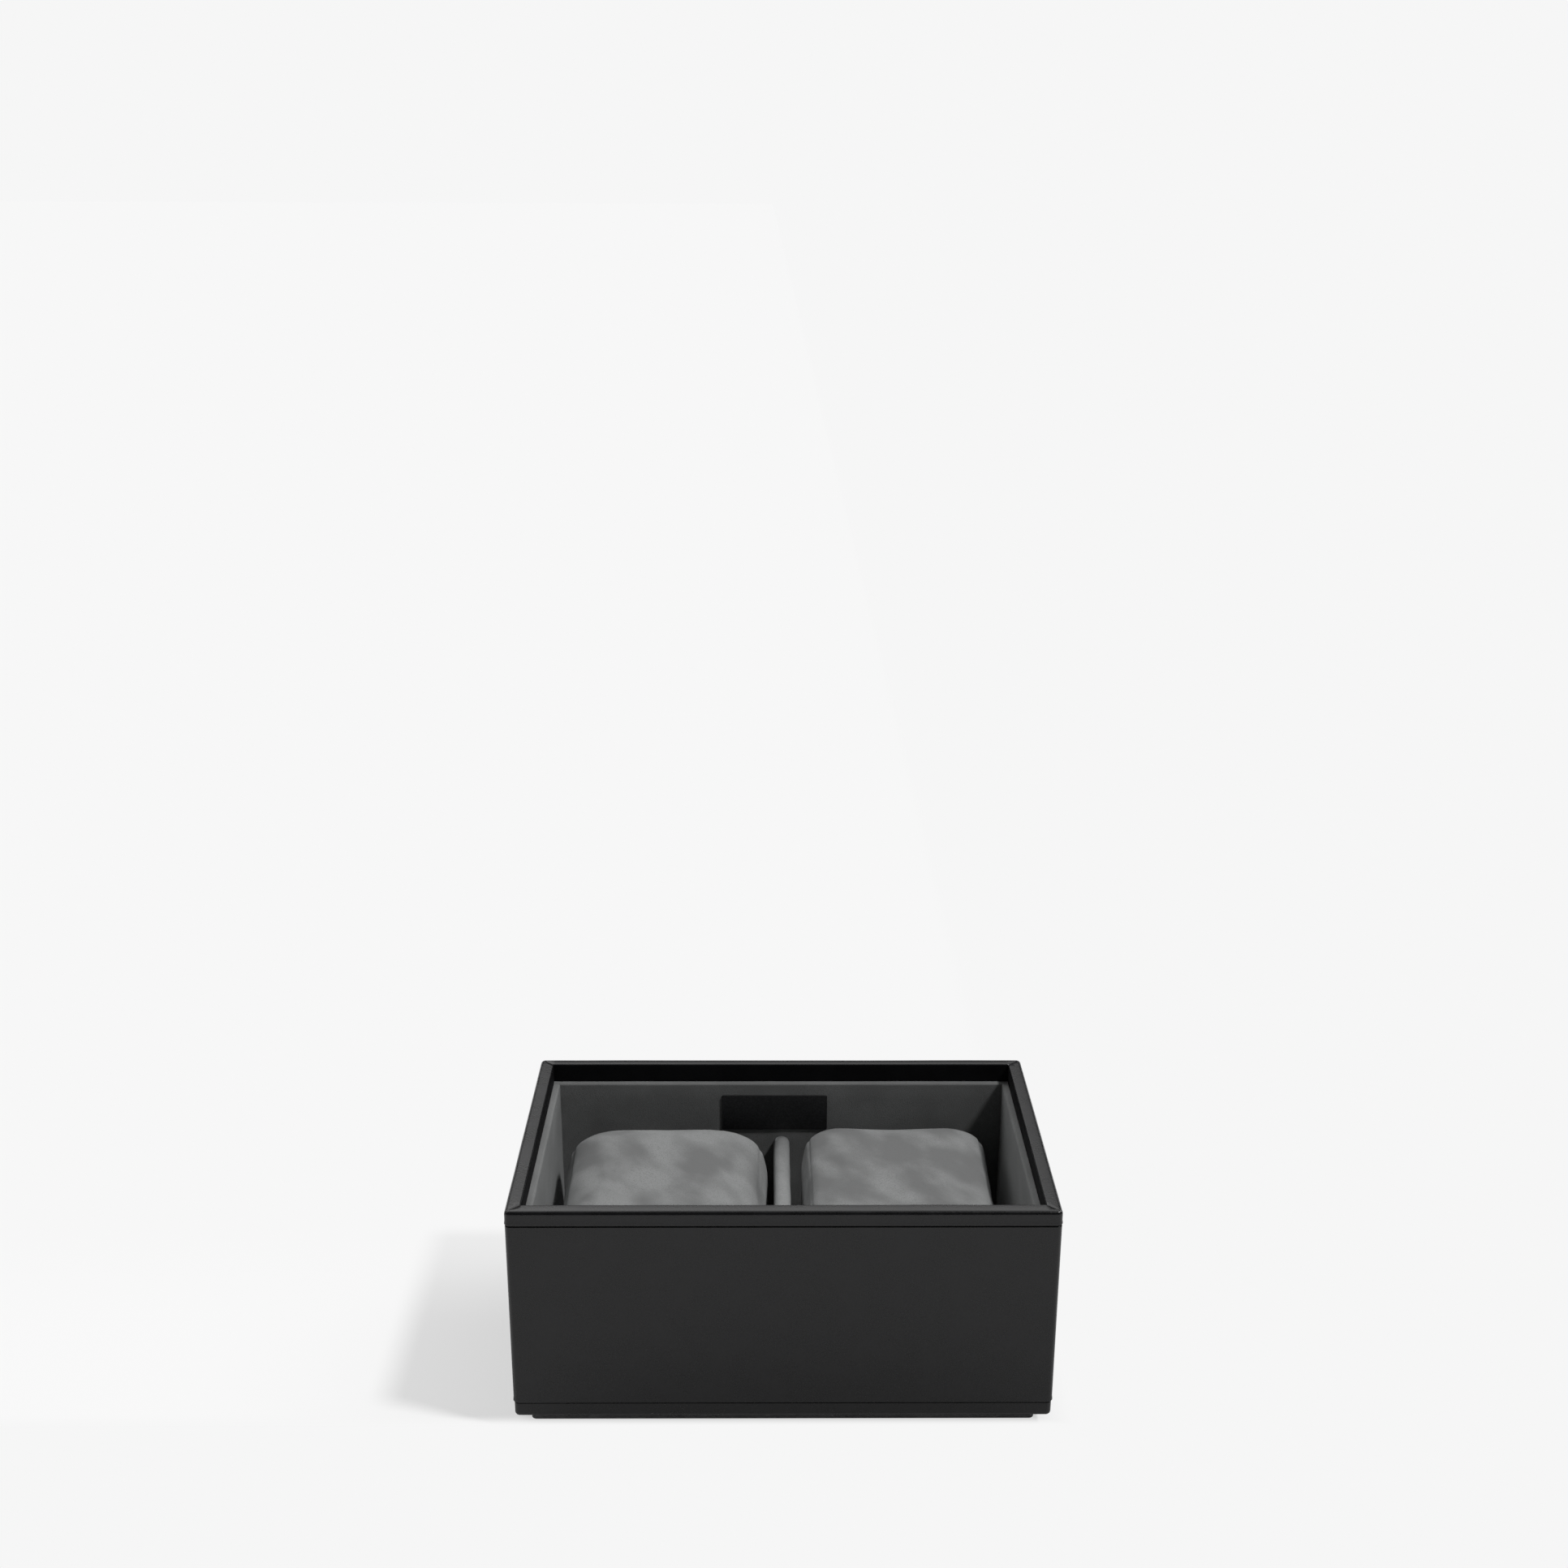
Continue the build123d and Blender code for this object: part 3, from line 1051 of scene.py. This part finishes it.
class WATCHBOX_OT_pillows(Operator):
    """Two velvet pillows, filled by simulated pressure and then seamed"""

    bl_idname = "watchbox.pillows"
    bl_label = "Pillows"

    def execute(self, context):
        sizes = shape(context)
        for side in PILLOW_SEEDS:
            pillow = self.unfilled(side, sizes.pillow_slack)
            even_out(pillow, sizes.pillow_voxel)
            fill(pillow, sizes.pillow_swell)
            self.filling(side, mesh_of(pillow), sizes.filling_gap)
            self.cover(side, pillow, sizes.seam_depth, velvet(context, "pillow_velvet", marks=1.25))
        return {"FINISHED"}

    def unfilled(self, side, slack):
        """The cover before it is filled: the foam's shape, moved out by the cover's slack."""
        bm = mesh_of(frame["nodes"][f"{side}_pillow_foam"])
        bmesh.ops.remove_doubles(bm, verts=bm.verts, dist=SAME_PLACE)
        bm.normal_update()
        for vert in bm.verts:
            vert.co += vert.normal * slack
        mesh = bpy.data.meshes.new("unfilled")
        bm.to_mesh(mesh)
        bm.free()
        return placed("unfilled", mesh)

    def filling(self, side, bm, gap):
        """The foam, a gap inside the filled cover and no lower than the frame's."""
        node, body = f"{side}_pillow_foam", f"{side}_pillow"
        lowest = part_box(node)[0].z
        unsettle(bm, 0.4 * MM, size=9 * MM, seed=3.3)
        for vert in bm.verts:
            vert.co -= vert.normal * gap
            vert.co.z = max(vert.co.z, lowest)
        name = f"{side}_filling"
        piece = finish_piece(name, bm, foam(), node, body=body, sharp_angle=180)

    def cover(self, side, pillow, seam_depth, cloth):
        """The velvet cover: the filled shape made smooth, seamed and laid on the floor lining."""
        node, body = f"{side}_pillow_cover", f"{side}_pillow"
        low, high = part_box(node)
        smooth = pillow.modifiers.new("smooth", "SUBSURF")
        smooth.levels = smooth.render_levels = 1
        apply_modifiers(pillow)
        bm = mesh_of(pillow)
        bpy.data.objects.remove(pillow)
        self.sew(bm, low, high, seam_depth)
        unsettle(bm, 0.16 * MM, size=14 * MM, seed=PILLOW_SEEDS[side])
        for vert in bm.verts:
            vert.co.z = max(vert.co.z, low.z)
        name = f"{side}_pillow"
        piece = finish_piece(name, bm, cloth, node, body=body, sharp_angle=180)

    def sew(self, bm, low, high, depth):
        """Pulls in the seams between the pillow's middle panel and its two end panels."""
        half_width = 0.8 * MM
        from_end = 2.4 * MM
        sliver = 0.16 * MM
        for x in (low.x + from_end, high.x - from_end):
            for step in (-1, -0.5, 0, 0.5, 1):
                cut_at(bm, Vector((x + step * half_width, 0, 0)), Vector((1, 0, 0)))
            bmesh.ops.remove_doubles(bm, verts=bm.verts, dist=sliver)
            bm.normal_update()
            for vert in bm.verts:
                away = abs(vert.co.x - x) / half_width
                if away < 1:
                    vert.co -= vert.normal * (depth * (1 - away * away) ** 2)


# What the coverings hide


class WATCHBOX_OT_core(Operator):
    """Materials for the boards, cards and felt of the frame"""

    bl_idname = "watchbox.core"
    bl_label = "Boards, Cards and Felt"

    def execute(self, context):
        finishes = {"board": fibre_board(), "card": grey_card(), "felt": felt(context)}
        for row in frame["record"]["subparts"]:
            material = finishes.get(row["material_slot"])
            if material:
                slots = frame["nodes"][row["node"]].data.materials
                slots.clear()
                slots.append(material)
        return {"FINISHED"}


# The stage


class WATCHBOX_OT_stage(Operator):
    """Pale floor, soft studio light and the camera"""

    bl_idname = "watchbox.stage"
    bl_label = "Stage"

    def execute(self, context):
        settings = context.scene.watch_box_stage
        self.floor(settings)
        self.world(context, settings)
        self.key(settings)
        self.camera(context)
        context.scene.view_settings.view_transform = "Standard"
        return {"FINISHED"}

    def floor(self, settings):
        """A wide level floor."""
        half_width = 30.0
        bm = bmesh.new()
        bmesh.ops.create_grid(bm, x_segments=1, y_segments=1, size=half_width)
        mesh = bpy.data.meshes.new("floor")
        bm.to_mesh(mesh)
        bm.free()
        mesh.materials.append(pale_floor(settings))
        ground = placed("floor", mesh)

    def world(self, context, settings):
        """Light from a pale studio, brightest high at the back, with a plain backdrop in view."""
        world = bpy.data.worlds.new("studio")
        world.use_nodes = True
        context.scene.world = world
        shader = Shader(world.node_tree)
        right, back, up = shader.parts(shader.value("ShaderNodeTexCoord", output="Generated"))
        left = right * -1
        window = up.smooth(0.33, 0.56) * back.smooth(-0.2, 0.55)
        window_light = left.smooth(-0.05, 0.4) * 1.1 + 1.3
        left_light = left.smooth(0.0, 1.0) * 0.1
        dim_light = 0.03
        glow = (dim_light + window * window_light + left_light) * settings.fill_strength
        plain_colour = opaque(settings.floor_colour)
        studio = shader.value("ShaderNodeBackground", None, {"Color": (1, 1, 1, 1), "Strength": glow})
        plain = shader.value("ShaderNodeBackground", None, {"Color": plain_colour, "Strength": 1.0})
        shader.seen_mix(1.0, plain, studio, "ShaderNodeOutputWorld")

    def key(self, settings):
        """A lamp from the right and a little in front, which throws the shadow to the left."""
        lamp = bpy.data.lights.new("key", "SUN")
        lamp.energy = settings.key_strength
        lamp.angle = settings.key_spread
        towards = Vector((45, -17, 78))
        placed("key", lamp).rotation_euler = towards.to_track_quat("Z", "Y").to_euler()

    def camera(self, context):
        """The photograph's viewpoint, from a camera fitted to the box's edges."""
        image_size = 1932
        focal_pixels = 2582.2
        axis_row = 1280
        position = Vector((-5.9, -662.8, 390.0)) * MM
        pitch, yaw, roll = math.radians(22.45), math.radians(0.55), math.radians(0.2)
        data = bpy.data.cameras.new("camera")
        data.sensor_width = 36.0
        data.lens = focal_pixels / image_size * data.sensor_width
        data.shift_y = (axis_row - image_size / 2) / image_size
        turn = Matrix.Rotation(-yaw, 4, "Z") @ Matrix.Rotation(math.pi / 2 - pitch, 4, "X")
        camera = placed("camera", data)
        camera.matrix_world = Matrix.Translation(position) @ turn @ Matrix.Rotation(roll, 4, "Z")
        context.scene.camera = camera


OPERATORS = (
    WATCHBOX_OT_stage,
    WATCHBOX_OT_core,
    WATCHBOX_OT_rim,
    WATCHBOX_OT_side_wrap,
    WATCHBOX_OT_base,
    WATCHBOX_OT_lining,
    WATCHBOX_OT_divider,
    WATCHBOX_OT_tab,
    WATCHBOX_OT_pillows,
)


class WATCHBOX_PT_panel(Panel):
    """Sizes, colours and makers of the watch box"""

    bl_idname = "WATCHBOX_PT_panel"
    bl_label = "Watch Box"
    bl_space_type = "VIEW_3D"
    bl_region_type = "UI"
    bl_category = "Watch Box"

    def draw(self, context):
        layout = self.layout
        for group in ("watch_box_shape", "watch_box_finish", "watch_box_stage"):
            settings = getattr(context.scene, group)
            column = layout.column(align=True)
            for name in settings.__annotations__:
                column.prop(settings, name)
        for operator in OPERATORS:
            layout.operator(operator.bl_idname)


CLASSES = (WatchBoxShape, WatchBoxFinish, WatchBoxStage, *OPERATORS, WATCHBOX_PT_panel)


def register():
    for cls in CLASSES:
        bpy.utils.register_class(cls)
    bpy.types.Scene.watch_box_shape = PointerProperty(type=WatchBoxShape)
    bpy.types.Scene.watch_box_finish = PointerProperty(type=WatchBoxFinish)
    bpy.types.Scene.watch_box_stage = PointerProperty(type=WatchBoxStage)


def unregister():
    del bpy.types.Scene.watch_box_stage
    del bpy.types.Scene.watch_box_finish
    del bpy.types.Scene.watch_box_shape
    for cls in reversed(CLASSES):
        bpy.utils.unregister_class(cls)


def main():
    register()
    bpy.ops.watchbox.stage()
    bpy.ops.watchbox.core()
    bpy.ops.watchbox.rim()
    bpy.ops.watchbox.side_wrap()
    bpy.ops.watchbox.base()
    bpy.ops.watchbox.lining()
    bpy.ops.watchbox.divider()
    bpy.ops.watchbox.tab()
    bpy.ops.watchbox.pillows()


if __name__ == "__main__":
    main()
